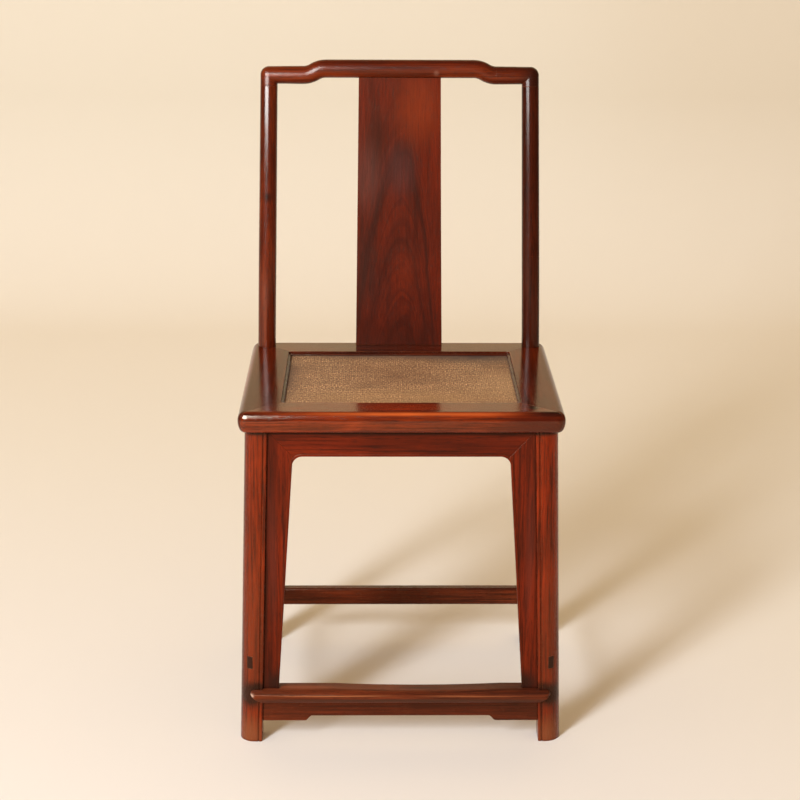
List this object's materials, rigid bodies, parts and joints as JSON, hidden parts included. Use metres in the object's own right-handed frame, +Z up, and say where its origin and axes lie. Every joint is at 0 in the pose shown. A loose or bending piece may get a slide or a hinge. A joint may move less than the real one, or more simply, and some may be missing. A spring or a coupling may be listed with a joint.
{
  "type": "side chair",
  "caption": "Joined hardwood side chair: yoke crest on round back posts, plain bowed splat, mitred seat frame with a plaited mat, splayed legs, front arch and foot rail.",
  "frame": {"origin": "on the floor, under the middle of the chair's bounding box", "axes": "+Z up, -Y the way the sitter faces, +X to the right as seen from the front"},
  "size_m": [0.4854, 0.4272, 0.9755],
  "materials": {
    "polished_wood": "polished",
    "figured_wood": "polished",
    "dark_wood": "satin",
    "plain_wood": "matte",
    "plaited_mat": "woven"
  },
  "bodies": {
    "root": {"crest_rail": "polished_wood", "back_splat": "figured_wood", "back_post_left": "polished_wood", "back_post_right": "polished_wood", "seat_front_rail": "polished_wood", "seat_back_rail": "polished_wood", "seat_side_rail_left": "polished_wood", "seat_side_rail_right": "polished_wood", "woven_mat": "plaited_mat", "mat_strip_front": "dark_wood", "mat_strip_back": "dark_wood", "mat_strip_left": "dark_wood", "mat_strip_right": "dark_wood", "seat_board": "plain_wood", "seat_brace_left": "plain_wood", "seat_brace_right": "plain_wood", "front_leg_left": "polished_wood", "front_leg_right": "polished_wood", "front_apron": "polished_wood", "front_apron_left": "polished_wood", "front_apron_right": "polished_wood", "foot_rail": "dark_wood", "foot_apron": "dark_wood", "back_stretcher": "dark_wood", "side_stretcher_left": "dark_wood", "side_stretcher_right": "dark_wood", "side_apron_left": "dark_wood", "side_apron_right": "dark_wood", "back_apron": "dark_wood"}
  },
  "joints": []
}
